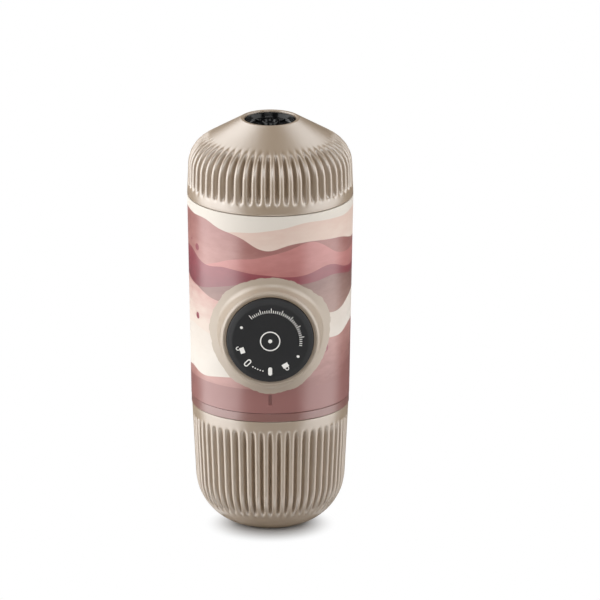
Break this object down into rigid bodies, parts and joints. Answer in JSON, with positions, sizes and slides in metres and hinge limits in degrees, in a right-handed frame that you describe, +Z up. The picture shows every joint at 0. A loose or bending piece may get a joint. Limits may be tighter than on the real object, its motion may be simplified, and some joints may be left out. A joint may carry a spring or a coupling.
{
  "type": "handheld manual espresso maker",
  "caption": "Upright hand pump coffee maker: fluted water tank on top, body with a round push knob on its front, screw-in filter holder and fluted drinking cup below.",
  "frame": {"origin": "centre of the cup's flat base, which the maker stands on", "axes": "+Z up the body's axis, -Y out of the knob, +X to the right seen from the knob's side"},
  "size_m": [0.062, 0.068, 0.156],
  "materials": {
    "beige_shell": "soft satin moulded plastic with a fine grain",
    "printed_shell": "satin plastic with a printed pattern of flowing bands",
    "collar_paint": "satin mauve plastic",
    "knob_black": "fine-grained black plastic with white marks",
    "gloss_black": "polished black plastic",
    "frame_grey": "plain dark grey moulded plastic",
    "steel": "brushed stainless steel",
    "valve_brass": "turned brass",
    "silicone": "pale translucent food-grade silicone"
  },
  "bodies": {
    "housing": {"body_shell": "printed_shell", "knob_sleeve": "beige_shell", "pump_barrel": "frame_grey", "pump_cylinder": "steel", "rod_bush": "frame_grey", "return_spring": "steel", "valve_block": "frame_grey", "inlet_plug": "valve_brass", "outlet_plug": "valve_brass", "inlet_spring": "steel", "outlet_spring": "steel", "tank_socket": "frame_grey", "inlet_strainer": "steel", "brew_head": "frame_grey", "head_gasket": "silicone", "shower_screen": "steel", "screen_screw": "steel", "frame_screws": "steel"},
    "tank_seat": {"tank_gasket": "silicone"},
    "tank": {"water_tank": "beige_shell", "vent_insert": "gloss_black", "vent_valve": "silicone"},
    "piston": {"piston_rod": "frame_grey", "piston_seal": "silicone", "rod_screw": "steel"},
    "knob": {"plunger": "knob_black", "knob_cap": "knob_black"},
    "inlet_poppet": {"inlet_valve": "silicone"},
    "outlet_poppet": {"outlet_valve": "silicone"},
    "basket": {"filter_basket": "steel", "scoop_tamper": "frame_grey"},
    "holder": {"filter_holder": "frame_grey", "holder_collar": "collar_paint", "cup_seal": "silicone", "nozzle": "frame_grey"},
    "cup": {"drinking_cup": "beige_shell"}
  },
  "joints": [
    {"name": "tank_lift", "type": "slide", "parent": "housing", "child": "tank_seat", "axis": [0, 0, 1], "range_m": [0, 0.02]},
    {"name": "tank_turn", "type": "hinge", "parent": "tank_seat", "child": "tank", "pos_m": [0, 0, 0.1086], "axis": [0, 0, 1], "range_deg": [0, 360]},
    {"name": "piston_slide", "type": "slide", "parent": "housing", "child": "piston", "axis": [0, -1, 0], "range_m": [0, 0.025], "deforming": ["return_spring"]},
    {"name": "knob_turn", "type": "hinge", "parent": "piston", "child": "knob", "pos_m": [0, 0, 0.0802], "axis": [0, -1, 0], "range_deg": [0, 45]},
    {"name": "inlet_valve_travel", "type": "slide", "parent": "housing", "child": "inlet_poppet", "axis": [0, 0, -1], "range_m": [0, 0.0012], "stiffness_N_per_m": 20, "springref_m": -0.003, "deforming": ["inlet_spring"]},
    {"name": "outlet_valve_travel", "type": "slide", "parent": "housing", "child": "outlet_poppet", "axis": [0, 0, -1], "range_m": [0, 0.0012], "stiffness_N_per_m": 20, "springref_m": -0.003, "deforming": ["outlet_spring"]},
    {"name": "holder_drop", "type": "slide", "parent": "housing", "child": "basket", "axis": [0, 0, -1], "range_m": [0, 0.012]},
    {"name": "holder_turn", "type": "hinge", "parent": "basket", "child": "holder", "pos_m": [0, 0, 0.0567], "axis": [0, 0, -1], "range_deg": [0, 360]},
    {"name": "cup_pull", "type": "slide", "parent": "holder", "child": "cup", "axis": [0, 0, -1], "range_m": [0, 0.04]}
  ],
  "couplings": [
    {"joint": "tank_lift", "follows": "tank_turn", "m_per_rad": 0.003183},
    {"joint": "holder_drop", "follows": "holder_turn", "m_per_rad": 0.0019098}
  ]
}
